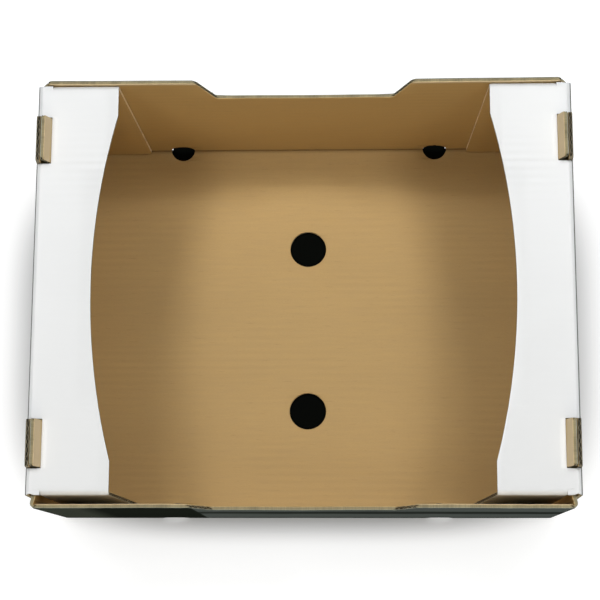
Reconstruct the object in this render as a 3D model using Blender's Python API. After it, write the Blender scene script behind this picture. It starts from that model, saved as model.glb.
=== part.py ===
"""Corrugated fruit tray, folded and glued from one die-cut blank.

Metres, +Z up. The origin is on the ground under the middle of the tray. +X runs along the
length and -Y is the front. The blank is drawn as its middle surface, panel by panel from the
floor outwards, each one turned up at its scored crease, and then given the board's caliper.
One half is drawn and mirrored across the middle of the length. Where the board is cut across
its flutes, the openings between the papers are cut into the edge.
"""

import math

import bmesh
import bpy
from mathutils import Vector

# The board
BOARD = 0.0040
SCORE_RADIUS = 0.0008
GLUE_LINE = 0.0003

# Its papers and its fluting, and how deep the openings at a cut edge go
LINER = 0.0005
MEDIUM = 0.0003
FLUTE_PITCH = 0.0078
FLUTE_TIP = 0.0010
FLUTE_CROWN = 0.0007
FLUTE_DEPTH = 0.0030
EDGE_MARGIN = 0.0004

# The tray, over the outside of the board
LENGTH = 0.500
BASE_DEPTH = 0.388
LONG_WALL_LEAN = math.radians(2.55)
PLATFORM_HEIGHT = 0.180

# The low middle of each long wall
NOTCH_DEPTH = 0.036
NOTCH_MOUTH = 0.204
NOTCH_FLOOR = 0.170
NOTCH_RADIUS = 0.006
RIM_CORNER_RADIUS = 0.003

# The platforms along the two ends
PLATFORM_WIDTH = 0.076
PLATFORM_WAIST = 0.0545
ARC_END_MARGIN = 0.0257
PLATFORM_FRONT_GAP = 0.0080
PLATFORM_BACK_GAP = 0.0005
END_WALL_INSET = 0.0012

# The flaps that hang from the platforms' ends, inside the long walls
END_FLAP_OUTER_CLEARANCE = 0.014
END_FLAP_OUTER_SLANT = 0.008
END_FLAP_BACK_SLANT = 0.0105
END_FLAP_FRONT_SLANT = 0.0220
END_FLAP_RADIUS = 0.004

# The flaps that turn the corners, inside the end walls
CORNER_FLAP_LENGTH = 0.095
CORNER_FLAP_RADIUS = 0.005
FLAP_LIFT = 0.0015

# The stacking tabs, and the slots that a lower tray's tabs enter
TAB_END_MARGIN = 0.0295
TAB_WIDTH = 0.043
TAB_RADIUS = 0.0025
OUTER_TAB_RISE = 0.0090
INNER_TAB_RISE = 0.0110
SLOT_PLAY = 0.0010
STACK_PLAY = 0.0015

# The round holes
FLOOR_HOLE_DIAMETER = 0.037
FLOOR_HOLE_BACK = 0.083
FLOOR_HOLE_FRONT = -0.086
CREASE_HOLE_DIAMETER = 0.0245
CREASE_HOLE_SPACING = 0.262

# How finely curves are drawn
FOLD_STEPS = 4
CORNER_STEPS = 3
ARC_STEPS = 28
HOLE_STEPS = 32
WELD = 0.00001
CUT_MARGIN = 0.006

RIGHT_ANGLE = math.pi / 2
FOLD_RADIUS = SCORE_RADIUS + BOARD / 2
FOLD_ARC = FOLD_RADIUS * RIGHT_ANGLE
FOLD_REACH = FOLD_RADIUS + BOARD / 2
LONG_WALL_ARC = FOLD_RADIUS * (RIGHT_ANGLE - LONG_WALL_LEAN)

# Where the floor's creases start
FLOOR_END = LENGTH / 2 - FOLD_REACH
FLOOR_SIDE = BASE_DEPTH / 2 - FOLD_REACH
END_CREASE = FLOOR_SIDE - END_WALL_INSET

# The corner flaps stand one glue line inside the end walls
CORNER_FLAP_PLACE = LENGTH / 2 - BOARD - GLUE_LINE - BOARD / 2
CORNER_CREASE = CORNER_FLAP_PLACE - FOLD_RADIUS
FLAP_BOTTOM = BOARD + FLAP_LIFT
FLAP_TOP = PLATFORM_HEIGHT - BOARD - SCORE_RADIUS

# Heights along the end walls, from the end of the floor's fold
END_WALL_START = FOLD_REACH
END_WALL_FLAT = PLATFORM_HEIGHT - 2 * FOLD_REACH

# The tabs' and slots' places across the ends
TAB_FAR = BASE_DEPTH / 2 - TAB_END_MARGIN
TAB_NEAR = TAB_FAR - TAB_WIDTH
SLOT_NEAR = TAB_NEAR - SLOT_PLAY
SLOT_FAR = TAB_FAR + SLOT_PLAY
OUTER_TAB_LENGTH = PLATFORM_HEIGHT + OUTER_TAB_RISE - END_WALL_START - END_WALL_FLAT
SLOT_DEPTH = OUTER_TAB_LENGTH - FOLD_ARC
TAB_STACK_FACE = CORNER_FLAP_PLACE - BOARD / 2
STACK_SLOT_NEAR = TAB_NEAR - STACK_PLAY
STACK_SLOT_FAR = TAB_FAR + STACK_PLAY


class Panel:
    """A flat stretch of the board's middle plane, measured across and away from its crease."""

    def __init__(self, origin, across, away, inside):
        self.origin = Vector(origin)
        self.across = Vector(across)
        self.away = Vector(away)
        self.inside = Vector(inside)

    def at(self, across, away):
        return self.origin + self.across * across + self.away * away

    def measured(self, place):
        offset = Vector(place) - self.origin
        return offset.dot(self.across), offset.dot(self.away)

    def side(self, direction):
        """The same plane, measured towards one of its sides."""
        return Panel(self.origin, self.away, self.across * direction, self.inside)


class Sheet:
    """The folded blank's middle surface: places, which way is inside there, and faces."""

    def __init__(self):
        self.index = {}
        self.places = []
        self.insides = []
        self.faces = []
        self.openings = []

    def corner(self, place, inside):
        key = tuple(round(value / WELD) for value in place)
        if key not in self.index:
            self.index[key] = len(self.places)
            self.places.append(place.copy())
            self.insides.append(inside.copy())
        return self.index[key]

    def face(self, corners):
        loop = [self.corner(place, inside) for place, inside in corners]
        turning = Vector((0, 0, 0))
        for this, following in zip(loop, loop[1:] + loop[:1]):
            turning += self.places[this].cross(self.places[following])
        if turning.dot(corners[0][1]) < 0:
            loop.reverse()
        self.faces.append(loop)

    def panel(self, panel, outline):
        self.face([(panel.at(across, away), panel.inside) for across, away in outline])

    def fold(self, panel, stretches, crease, angle):
        """Turns the board towards its inside at a crease, and returns the panel beyond it."""
        rows = []
        for step in range(FOLD_STEPS + 1):
            turn = angle * step / FOLD_STEPS
            outward = panel.away * (crease + FOLD_RADIUS * math.sin(turn))
            inward = panel.inside * (FOLD_RADIUS * (1 - math.cos(turn)))
            facing = panel.inside * math.cos(turn) - panel.away * math.sin(turn)
            rows.append((panel.origin + outward + inward, facing))
        for (near, near_facing), (far, far_facing) in zip(rows, rows[1:]):
            for start, end in stretches:
                begin = panel.across * start
                finish = panel.across * end
                self.face([
                    (near + begin, near_facing),
                    (near + finish, near_facing),
                    (far + finish, far_facing),
                    (far + begin, far_facing),
                ])
        away = panel.away * math.cos(angle) + panel.inside * math.sin(angle)
        return Panel(rows[-1][0], panel.across, away, rows[-1][1])

    def open_flutes(self, panel, zero, start, end, edge, facing):
        """Openings in a cut edge of a panel whose flutes run away from its crease.

        They lie from start to end across the panel. Zero is where the blank's middle is, edge
        gives how far away the cut is, and facing is 1 if the cut faces away, else -1.
        """
        wide = (FLUTE_PITCH - FLUTE_TIP) / 2
        core = BOARD / 2 - LINER
        step = FLUTE_PITCH / 2
        first_middle = zero + step / 2
        first = math.ceil((start + wide - first_middle) / step)
        last = math.floor((end - wide - first_middle) / step)
        for number in range(first, last + 1):
            middle = first_middle + number * step
            crest = 1 if number % 2 == 0 else -1
            cuts = [edge(middle - wide), edge(middle), edge(middle + wide)]
            outermost = max(cut * facing for cut in cuts) + EDGE_MARGIN
            innermost = min(cut * facing for cut in cuts) - FLUTE_DEPTH
            outline = [
                (middle - wide, -crest * core),
                (middle + wide, -crest * core),
                (middle + FLUTE_CROWN / 2, crest * (core - MEDIUM)),
                (middle - FLUTE_CROWN / 2, crest * (core - MEDIUM)),
            ]
            self.openings.append([
                [panel.at(across, facing * away) + panel.inside * depth for across, depth in outline]
                for away in (innermost, outermost)
            ])


def rounded(corners):
    """An outline whose corners, each (across, away, radius), are turned into short arcs."""
    outline = []
    for number, (across, away, radius) in enumerate(corners):
        corner = Vector((across, away))
        if radius == 0:
            outline.append(tuple(corner))
            continue
        before = Vector(corners[number - 1][:2])
        after = Vector(corners[(number + 1) % len(corners)][:2])
        back = (before - corner).normalized()
        ahead = (after - corner).normalized()
        half = back.angle(ahead) / 2
        tangent = radius / math.tan(half)
        centre = corner + (back + ahead).normalized() * (radius / math.sin(half))
        start = corner + back * tangent - centre
        sweep = start.angle_signed(corner + ahead * tangent - centre)
        for step in range(CORNER_STEPS + 1):
            turn = -sweep * step / CORNER_STEPS
            outline.append((
                centre.x + start.x * math.cos(turn) - start.y * math.sin(turn),
                centre.y + start.x * math.sin(turn) + start.y * math.cos(turn),
            ))
    return outline


def long_wall_inside(height):
    """How far the long walls' inner faces are from the middle of the depth, at a height."""
    angle = RIGHT_ANGLE - LONG_WALL_LEAN
    start = FLOOR_SIDE + FOLD_RADIUS * math.sin(angle)
    start_height = BOARD / 2 + FOLD_RADIUS * (1 - math.cos(angle))
    middle = start + (height - start_height) * math.tan(LONG_WALL_LEAN)
    return middle - BOARD / 2 / math.cos(LONG_WALL_LEAN)


def arc_points(start, end, middle, level):
    """Points on the circle through (start, level), (end, level) and the waist at middle."""
    half = (end - start) / 2
    rise = level - middle
    radius = (half * half + rise * rise) / (2 * rise)
    sweep = math.asin(half / radius)
    points = []
    for step in range(ARC_STEPS + 1):
        turn = sweep * (2 * step / ARC_STEPS - 1)
        points.append((
            (start + end) / 2 + radius * math.sin(turn),
            middle + radius * (1 - math.cos(turn)),
        ))
    return points


def stacking_slots(level, depth):
    """The end edge's corners from front to back, with both stacking slots cut into it."""
    corners = []
    for near, far in ((-STACK_SLOT_FAR, -STACK_SLOT_NEAR), (STACK_SLOT_NEAR, STACK_SLOT_FAR)):
        corners += [(near, level), (near, depth), (far, depth), (far, level)]
    return corners


def draw_floor(sheet):
    """The floor's half, with the slots that a lower tray's tabs enter."""
    floor = Panel((0, 0, BOARD / 2), (0, 1, 0), (1, 0, 0), (0, 0, 1))
    slot = TAB_STACK_FACE - STACK_PLAY
    outline = [(-FLOOR_SIDE, 0), (-FLOOR_SIDE, CORNER_CREASE), (-END_CREASE, FLOOR_END)]
    outline += stacking_slots(FLOOR_END, slot)
    outline += [(END_CREASE, FLOOR_END), (FLOOR_SIDE, CORNER_CREASE), (FLOOR_SIDE, 0)]
    sheet.panel(floor, outline)
    return floor


def draw_long_wall(sheet, floor, direction):
    """Half of a long wall with its low middle, and the corner flap that it carries."""
    wall = sheet.fold(
        floor.side(direction), [(0, CORNER_CREASE)], FLOOR_SIDE, RIGHT_ANGLE - LONG_WALL_LEAN
    )
    flat_start = -FLOOR_SIDE - LONG_WALL_ARC
    up = wall.away.z
    top = (PLATFORM_HEIGHT - wall.origin.z) / up
    hinge_bottom = (FLAP_BOTTOM - wall.origin.z) / up
    hinge_top = (FLAP_TOP - wall.origin.z) / up
    sheet.panel(wall, rounded([
        (0, 0, 0),
        (CORNER_CREASE, 0, 0),
        (CORNER_CREASE, hinge_bottom, 0),
        (CORNER_CREASE, hinge_top, 0),
        (CORNER_CREASE, top, RIM_CORNER_RADIUS),
        (NOTCH_MOUTH / 2, top, NOTCH_RADIUS),
        (NOTCH_FLOOR / 2, top - NOTCH_DEPTH, NOTCH_RADIUS),
        (0, top - NOTCH_DEPTH, 0),
    ]))
    slope = (NOTCH_MOUTH - NOTCH_FLOOR) / 2 / NOTCH_DEPTH
    sheet.open_flutes(
        wall.side(1), flat_start, top - NOTCH_DEPTH + NOTCH_RADIUS / 2, top - NOTCH_RADIUS / 2,
        lambda height: NOTCH_MOUTH / 2 - (top - height) * slope, -1
    )
    draw_corner_flap(sheet, wall, direction, hinge_bottom, hinge_top)


def draw_corner_flap(sheet, wall, direction, hinge_bottom, hinge_top):
    """The flap glued inside the end wall, with the inner stacking tab on its top edge."""
    flap = sheet.fold(wall.side(1), [(hinge_bottom, hinge_top)], CORNER_CREASE, RIGHT_ANGLE)
    free_end = long_wall_inside(FLAP_BOTTOM) - CORNER_FLAP_LENGTH
    tab_top = PLATFORM_HEIGHT + INNER_TAB_RISE
    slot_top = INNER_TAB_RISE + STACK_PLAY

    def corner(distance, height, radius=0):
        across, away = flap.measured((0, direction * distance, height))
        return across, away, radius

    sheet.panel(flap, rounded([
        (hinge_bottom, 0, 0),
        corner(STACK_SLOT_FAR, FLAP_BOTTOM),
        corner(STACK_SLOT_FAR, slot_top),
        corner(STACK_SLOT_NEAR, slot_top),
        corner(STACK_SLOT_NEAR, FLAP_BOTTOM),
        corner(free_end, FLAP_BOTTOM, CORNER_FLAP_RADIUS),
        corner(free_end, FLAP_TOP, CORNER_FLAP_RADIUS),
        corner(TAB_NEAR, FLAP_TOP),
        corner(TAB_NEAR, tab_top, TAB_RADIUS),
        corner(TAB_FAR, tab_top, TAB_RADIUS),
        corner(TAB_FAR, FLAP_TOP),
        (hinge_top, 0, 0),
    ]))
    for distance, facing in ((TAB_NEAR, 1), (TAB_FAR, -1)):
        foot, foot_away, _ = corner(distance, FLAP_TOP)
        tip, tip_away, _ = corner(distance, tab_top - TAB_RADIUS)
        slope = (tip_away - foot_away) / (tip - foot)
        sheet.open_flutes(
            flap, -FLOOR_SIDE - LONG_WALL_ARC, foot, tip,
            lambda across: foot_away + (across - foot) * slope, facing
        )


def draw_end_wall(sheet, floor, front_edge, back_edge):
    """An end wall with its outer stacking tabs, turned up from the floor's end crease."""
    floor_stretches = [
        (-END_CREASE, -STACK_SLOT_FAR),
        (-STACK_SLOT_NEAR, STACK_SLOT_NEAR),
        (STACK_SLOT_FAR, END_CREASE),
    ]
    wall = sheet.fold(floor, floor_stretches, FLOOR_END, RIGHT_ANGLE)
    slot_top = OUTER_TAB_RISE + STACK_PLAY - END_WALL_START
    tab_top = END_WALL_FLAT + OUTER_TAB_LENGTH
    corners = [(-END_CREASE, 0, 0)]
    corners += [(across, away, 0) for across, away in stacking_slots(0, slot_top)]
    corners += [(END_CREASE, 0, 0), (back_edge, END_WALL_FLAT, 0)]
    for first, second in ((1, -1), (-1, 1)):
        outer, inner = (TAB_FAR, TAB_NEAR) if first > 0 else (-TAB_NEAR, -TAB_FAR)
        slot_outer = outer + SLOT_PLAY
        slot_inner = inner - SLOT_PLAY
        corners += [
            (slot_outer, END_WALL_FLAT, 0),
            (outer, END_WALL_FLAT, 0),
            (outer, tab_top, TAB_RADIUS),
            (inner, tab_top, TAB_RADIUS),
            (inner, END_WALL_FLAT, 0),
            (slot_inner, END_WALL_FLAT, 0),
        ]
        sheet.open_flutes(
            wall, 0, inner + TAB_RADIUS, outer - TAB_RADIUS, lambda across: tab_top, 1
        )
    corners += [(front_edge, END_WALL_FLAT, 0)]
    sheet.panel(wall, rounded(corners))
    return wall


def draw_platform(sheet, wall, front_edge, back_edge):
    """A platform folded in from an end wall's top, with the slots that its tabs left."""
    stretches = [(front_edge, -SLOT_FAR), (-SLOT_NEAR, SLOT_NEAR), (SLOT_FAR, back_edge)]
    platform = sheet.fold(wall, stretches, END_WALL_FLAT, RIGHT_ANGLE)
    inner = PLATFORM_WIDTH - FOLD_REACH
    waist = PLATFORM_WAIST - FOLD_REACH
    hinge_start = END_FLAP_OUTER_CLEARANCE - FOLD_REACH
    outline = [(front_edge, 0)]
    for near, far in ((-SLOT_FAR, -SLOT_NEAR), (SLOT_NEAR, SLOT_FAR)):
        outline += [(near, 0), (near, SLOT_DEPTH), (far, SLOT_DEPTH), (far, 0)]
    outline += [(back_edge, 0), (back_edge, hinge_start)]
    outline += [(back_edge - FOLD_REACH, hinge_start), (back_edge - FOLD_REACH, inner)]
    arc_start = front_edge + FOLD_REACH + ARC_END_MARGIN
    arc_end = back_edge - FOLD_REACH - ARC_END_MARGIN
    arc = arc_points(arc_start, arc_end, waist, inner)
    outline += reversed(arc)
    outline += [(front_edge + FOLD_REACH, inner), (front_edge + FOLD_REACH, hinge_start)]
    outline += [(front_edge, hinge_start)]
    sheet.panel(platform, outline)

    def inner_edge(across):
        for (near, near_away), (far, far_away) in zip(arc, arc[1:]):
            if near <= across <= far:
                return near_away + (far_away - near_away) * (across - near) / (far - near)
        return inner

    sheet.open_flutes(
        platform, 0, front_edge + FOLD_REACH, back_edge - FOLD_REACH, inner_edge, 1
    )
    draw_end_flap(sheet, platform, 1, back_edge, hinge_start, inner, END_FLAP_BACK_SLANT)
    draw_end_flap(sheet, platform, -1, -front_edge, hinge_start, inner, END_FLAP_FRONT_SLANT)


def draw_end_flap(sheet, platform, direction, edge, hinge_start, hinge_end, slant):
    """A platform's end flap, which hangs to the floor and meets the long wall at its foot."""
    foot = long_wall_inside(FLAP_BOTTOM) - GLUE_LINE
    drop = FLAP_TOP - FLAP_BOTTOM
    tuck = math.atan2(edge - foot, drop)
    flap = sheet.fold(
        platform.side(direction), [(hinge_start, hinge_end)], edge - FOLD_REACH, RIGHT_ANGLE + tuck
    )
    length = (flap.origin.z - FLAP_BOTTOM) / -flap.away.z
    flat_start = FOLD_REACH - edge - FOLD_RADIUS * (RIGHT_ANGLE + tuck)
    sheet.panel(flap, rounded([
        (hinge_start, 0, 0),
        (hinge_end, 0, 0),
        (hinge_end + slant, length, END_FLAP_RADIUS),
        (hinge_start + END_FLAP_OUTER_SLANT, length, END_FLAP_RADIUS),
    ]))
    sheet.open_flutes(
        flap.side(1), flat_start, 0, length - END_FLAP_RADIUS,
        lambda drop: hinge_end + slant * drop / length, 1
    )


def thickened(sheet, name, materials):
    """The closed board around the middle surface, open only where the mirror joins it."""
    mesh = bpy.data.meshes.new(name)
    board = bmesh.new()
    kraft_side = []
    coated_side = []
    for place, inside in zip(sheet.places, sheet.insides):
        kraft_side.append(board.verts.new(place + inside * (BOARD / 2)))
        coated_side.append(board.verts.new(place - inside * (BOARD / 2)))
    used = {}
    for loop in sheet.faces:
        for this, following in zip(loop, loop[1:] + loop[:1]):
            used[(this, following)] = True
    for loop in sheet.faces:
        board.faces.new([kraft_side[corner] for corner in loop])
        coated = board.faces.new([coated_side[corner] for corner in reversed(loop)])
        coated.material_index = 1
        for this, following in zip(loop, loop[1:] + loop[:1]):
            on_mirror = max(abs(sheet.places[this].x), abs(sheet.places[following].x)) < WELD
            if (following, this) in used or on_mirror:
                continue
            board.faces.new([
                kraft_side[following], kraft_side[this], coated_side[this], coated_side[following]
            ])
    board.to_mesh(mesh)
    board.free()
    for material in materials:
        mesh.materials.append(material)
    tray = bpy.data.objects.new(name, mesh)
    bpy.context.scene.collection.objects.link(tray)
    mirror = tray.modifiers.new("other_half", "MIRROR")
    mirror.use_axis = (True, False, False)
    mirror.merge_threshold = WELD
    return tray


def cut_away(tray, name, shape):
    """Cuts a closed shape out of the tray, and returns the cutter."""
    mesh = bpy.data.meshes.new(name)
    shape.to_mesh(mesh)
    shape.free()
    cutter = bpy.data.objects.new(name, mesh)
    cutter.hide_render = True
    cutter.display_type = "WIRE"
    bpy.context.scene.collection.objects.link(cutter)
    cut = tray.modifiers.new(name, "BOOLEAN")
    cut.operation = "DIFFERENCE"
    cut.solver = "EXACT"
    cut.object = cutter
    return cutter


def cut_openings(tray, openings):
    """Cuts the fluting's openings into the cut edges of both halves."""
    combs = bmesh.new()
    for ends in openings:
        for mirrored in (1, -1):
            rings = []
            for end in ends:
                ring = [Vector((place.x * mirrored, place.y, place.z)) for place in end]
                rings.append([combs.verts.new(place) for place in ring])
            inner, outer = rings
            combs.faces.new(inner)
            combs.faces.new(reversed(outer))
            for number in range(len(inner)):
                combs.faces.new([inner[number - 1], outer[number - 1], outer[number], inner[number]])
    bmesh.ops.recalc_face_normals(combs, faces=combs.faces)
    cut_away(tray, "fluting", combs)


def cut_round_hole(tray, name, place, diameter, length, tilt):
    """Punches a round hole, with its axis upright or tilted back from upright."""
    punch = bmesh.new()
    bmesh.ops.create_cone(
        punch, cap_ends=True, segments=HOLE_STEPS, radius1=diameter / 2, radius2=diameter / 2,
        depth=length,
    )
    cutter = cut_away(tray, name, punch)
    cutter.location = place
    cutter.rotation_euler = (tilt, 0, 0)


def punch_holes(tray):
    """Two drain holes in the floor, and four round holes folded across the long creases."""
    depth = BOARD + 2 * CUT_MARGIN
    for number, place in enumerate((FLOOR_HOLE_FRONT, FLOOR_HOLE_BACK)):
        name = f"floor_hole_{number}"
        cut_round_hole(tray, name, (0, place, BOARD / 2), FLOOR_HOLE_DIAMETER, depth, 0)
    half_arc = LONG_WALL_ARC / 2
    floor_centre = FLOOR_SIDE + half_arc
    wall_centre = FOLD_REACH - half_arc
    floor_cut = BOARD + CUT_MARGIN
    for number, (end, direction) in enumerate(((-1, -1), (1, -1), (-1, 1), (1, 1))):
        across = end * CREASE_HOLE_SPACING / 2
        in_floor = (across, direction * floor_centre, BOARD - floor_cut / 2)
        in_wall = (across, direction * (BASE_DEPTH / 2 - BOARD / 2), wall_centre)
        cut_round_hole(
            tray, f"crease_hole_floor_{number}", in_floor, CREASE_HOLE_DIAMETER, floor_cut, 0
        )
        cut_round_hole(
            tray, f"crease_hole_wall_{number}", in_wall, CREASE_HOLE_DIAMETER, depth, RIGHT_ANGLE
        )


def paper(name, colour, roughness):
    """One side of the board."""
    material = bpy.data.materials.new(name)
    material.use_nodes = True
    surface = material.node_tree.nodes["Principled BSDF"]
    surface.inputs["Base Color"].default_value = (*colour, 1)
    surface.inputs["Roughness"].default_value = roughness
    surface.inputs["Metallic"].default_value = 0
    return material


def build():
    for existing in list(bpy.data.objects):
        bpy.data.objects.remove(existing, do_unlink=True)
    sheet = Sheet()
    floor = draw_floor(sheet)
    back_edge = long_wall_inside(PLATFORM_HEIGHT - BOARD) - PLATFORM_BACK_GAP
    front_edge = PLATFORM_FRONT_GAP - long_wall_inside(PLATFORM_HEIGHT - BOARD)
    for direction in (-1, 1):
        draw_long_wall(sheet, floor, direction)
    wall = draw_end_wall(sheet, floor, front_edge, back_edge)
    draw_platform(sheet, wall, front_edge, back_edge)
    kraft = paper("kraft_liner", (0.47, 0.33, 0.16), 0.85)
    coated = paper("white_liner", (0.82, 0.83, 0.83), 0.55)
    tray = thickened(sheet, "tray", (kraft, coated))
    cut_openings(tray, sheet.openings)
    punch_holes(tray)
    tray.data.shade_smooth()
    tray.data.set_sharp_from_angle(angle=math.radians(30))


build()
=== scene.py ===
"""Looks of the corrugated fruit tray: two paper liners on a fluted medium, folded as one sheet.

Metres, +Z up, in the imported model's frame. The right half of the flat blank is cut into rows
across its flutes, folded up panel by panel as the model is, and mirrored. U runs along the
flutes and V across them, both from the middle of the floor.
"""

import math

import bpy
import numpy as np
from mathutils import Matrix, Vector


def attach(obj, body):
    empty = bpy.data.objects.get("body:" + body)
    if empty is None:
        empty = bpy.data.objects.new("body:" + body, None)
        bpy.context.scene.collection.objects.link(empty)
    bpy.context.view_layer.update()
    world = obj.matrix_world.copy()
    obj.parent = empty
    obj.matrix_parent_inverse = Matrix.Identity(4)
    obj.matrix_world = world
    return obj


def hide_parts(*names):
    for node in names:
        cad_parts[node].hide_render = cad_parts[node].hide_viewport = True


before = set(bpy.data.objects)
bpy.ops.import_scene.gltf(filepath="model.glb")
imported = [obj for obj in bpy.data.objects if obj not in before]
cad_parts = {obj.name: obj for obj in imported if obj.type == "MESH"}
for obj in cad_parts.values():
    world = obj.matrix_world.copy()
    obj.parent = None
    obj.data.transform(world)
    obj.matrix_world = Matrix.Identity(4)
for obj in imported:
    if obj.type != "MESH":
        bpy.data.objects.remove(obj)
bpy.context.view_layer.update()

# The tray's sizes, as in the model
BOARD = 0.0040
SCORE_RADIUS = 0.0008
GLUE_LINE = 0.0003
LENGTH = 0.500
BASE_DEPTH = 0.388
LONG_WALL_LEAN = math.radians(2.55)
PLATFORM_HEIGHT = 0.180
NOTCH_DEPTH = 0.036
NOTCH_MOUTH = 0.204
NOTCH_FLOOR = 0.170
NOTCH_RADIUS = 0.006
RIM_CORNER_RADIUS = 0.003
PLATFORM_WIDTH = 0.076
PLATFORM_WAIST = 0.0545
ARC_END_MARGIN = 0.0257
PLATFORM_FRONT_GAP = 0.0080
PLATFORM_BACK_GAP = 0.0005
END_WALL_INSET = 0.0012
END_FLAP_OUTER_CLEARANCE = 0.014
END_FLAP_OUTER_SLANT = 0.008
END_FLAP_BACK_SLANT = 0.0105
END_FLAP_FRONT_SLANT = 0.0220
END_FLAP_RADIUS = 0.004
CORNER_FLAP_LENGTH = 0.095
CORNER_FLAP_RADIUS = 0.005
FLAP_LIFT = 0.0015
TAB_END_MARGIN = 0.0295
TAB_WIDTH = 0.043
TAB_RADIUS = 0.0025
OUTER_TAB_RISE = 0.0090
INNER_TAB_RISE = 0.0110
SLOT_PLAY = 0.0010
STACK_PLAY = 0.0015
FLOOR_HOLE_DIAMETER = 0.037
FLOOR_HOLE_BACK = 0.083
FLOOR_HOLE_FRONT = -0.086
CREASE_HOLE_DIAMETER = 0.0245
CREASE_HOLE_SPACING = 0.262

# The board's papers
LINER = 0.00045
MEDIUM = 0.00030
PITCH = 0.0078
GLUE_FILM = 0.00002
WASHBOARD = 0.00010
CREASE_CRUSH = 0.30
EDGE_CRUSH = 0.22
EDGE_BAND = 0.0012
EDGE_BURR = 0.00010
CORNER_TRIM = 0.0012
CORNER_TRIM_REACH = 0.0040
CORNER_INSET = 0.0007
FOLD_INK = 0.42

# How a handled tray departs from its drawing
BACK_WALL_BOW = 0.0006
WALL_RIPPLE = 0.0005
PLATFORM_SAG = 0.0013
INNER_TAB_PUSH = 0.0060
INNER_TAB_RETURN = 0.0045
INNER_TAB_PUSH_START = 0.024
OUTER_TAB_TUCK = 0.0012

# Where the flutes show through the platforms, and how strongly
RIPPLE_PLACE = 0.117
RIPPLE_WIDTH = 0.028
RIPPLE_STRENGTH = 2.4
PLATFORM_STRENGTH = 0.10

RIGHT_ANGLE = math.pi / 2
FOLD_RADIUS = SCORE_RADIUS + BOARD / 2
FOLD_ARC = FOLD_RADIUS * RIGHT_ANGLE
FOLD_REACH = FOLD_RADIUS + BOARD / 2
FLOOR_END = LENGTH / 2 - FOLD_REACH
FLOOR_SIDE = BASE_DEPTH / 2 - FOLD_REACH
END_CREASE = FLOOR_SIDE - END_WALL_INSET
CORNER_CREASE = LENGTH / 2 - BOARD - GLUE_LINE - BOARD / 2 - FOLD_RADIUS
FLAP_BOTTOM = BOARD + FLAP_LIFT
FLAP_TOP = PLATFORM_HEIGHT - BOARD - SCORE_RADIUS
END_WALL_FLAT = PLATFORM_HEIGHT - 2 * FOLD_REACH
TAB_FAR = BASE_DEPTH / 2 - TAB_END_MARGIN
TAB_NEAR = TAB_FAR - TAB_WIDTH
SLOT_NEAR = TAB_NEAR - SLOT_PLAY
SLOT_FAR = TAB_FAR + SLOT_PLAY
OUTER_TAB_LENGTH = PLATFORM_HEIGHT + OUTER_TAB_RISE - FOLD_REACH - END_WALL_FLAT
SLOT_DEPTH = OUTER_TAB_LENGTH - FOLD_ARC
TAB_STACK_FACE = LENGTH / 2 - 2 * BOARD - GLUE_LINE
STACK_SLOT_NEAR = TAB_NEAR - STACK_PLAY
STACK_SLOT_FAR = TAB_FAR + STACK_PLAY

# Where the blank's creases are, measured flat from the middle of the floor
END_WALL_FLOOR_EDGE = FLOOR_END + FOLD_ARC
END_WALL_TOP = END_WALL_FLOOR_EDGE + END_WALL_FLAT
PLATFORM_START = END_WALL_TOP + FOLD_ARC
LONG_WALL_ARC = FOLD_RADIUS * (RIGHT_ANGLE - LONG_WALL_LEAN)
LONG_WALL_START = FLOOR_SIDE + LONG_WALL_ARC
CORNER_START = CORNER_CREASE + FOLD_ARC

# How finely the blank is cut
CORNER_STEPS = 5
HOLE_STEPS = 96
ARC_STEPS = 120
COARSE_STEP = 0.004
BLANK_REACH = 0.56
WELD = 0.00002
WELD_OFFSET = 0.3719  # keeps flat faces off the borders of the weld's cells
SNAP = 0.00006
CLOSE = 1e-7
OVERHANG = 0.03


class Plane:
    """A flat panel, and where the blank's points lie on it once it is folded."""

    def __init__(self, origin, along, over, inside, start):
        self.origin = np.array(origin, float)
        self.ways = (np.array(along, float), np.array(over, float))
        self.inside = np.array(inside, float)
        self.start = start

    def place(self, u, v, w):
        flat = np.outer(u - self.start[0], self.ways[0]) + np.outer(v - self.start[1], self.ways[1])
        return self.origin + flat + np.outer(w, self.inside)

    def flat(self, point):
        offset = np.array(point, float) - self.origin
        return self.start[0] + offset @ self.ways[0], self.start[1] + offset @ self.ways[1]


class Bend:
    """The curl of the board at a crease, across the U or the V axis."""

    def __init__(self, plane, axis, direction, crease, angle):
        self.plane = plane
        self.axis = axis
        self.direction = direction
        self.crease = crease
        self.angle = angle
        self.arc = FOLD_RADIUS * angle

    def place(self, u, v, w):
        travelled = self.direction * ((u, v)[self.axis] - self.crease)
        turn = travelled / FOLD_RADIUS
        flat = [u, v]
        flat[self.axis] = np.full_like(u, self.crease)
        base = self.plane.place(flat[0], flat[1], np.zeros_like(u))
        away = self.plane.ways[self.axis] * self.direction
        radius = FOLD_RADIUS - w * (1 - CREASE_CRUSH * np.sin(np.pi * travelled / self.arc) ** 2)
        outward = np.outer(radius * np.sin(turn), away)
        inward = np.outer(FOLD_RADIUS - radius * np.cos(turn), self.plane.inside)
        return base + outward + inward

    def beyond(self):
        """The flat panel on the far side."""
        plane = self.plane
        start = list(plane.start)
        start[self.axis] = self.crease
        origin = plane.place(np.array([start[0]]), np.array([start[1]]), np.zeros(1))[0]
        away = plane.ways[self.axis] * self.direction
        turned = away * math.cos(self.angle) + plane.inside * math.sin(self.angle)
        inside = plane.inside * math.cos(self.angle) - away * math.sin(self.angle)
        origin = origin + away * (FOLD_RADIUS * math.sin(self.angle))
        origin = origin + plane.inside * (FOLD_RADIUS * (1 - math.cos(self.angle)))
        start[self.axis] = self.crease + self.direction * self.arc
        ways = list(plane.ways)
        ways[self.axis] = turned * self.direction
        return Plane(origin, ways[0], ways[1], inside, tuple(start))


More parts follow.
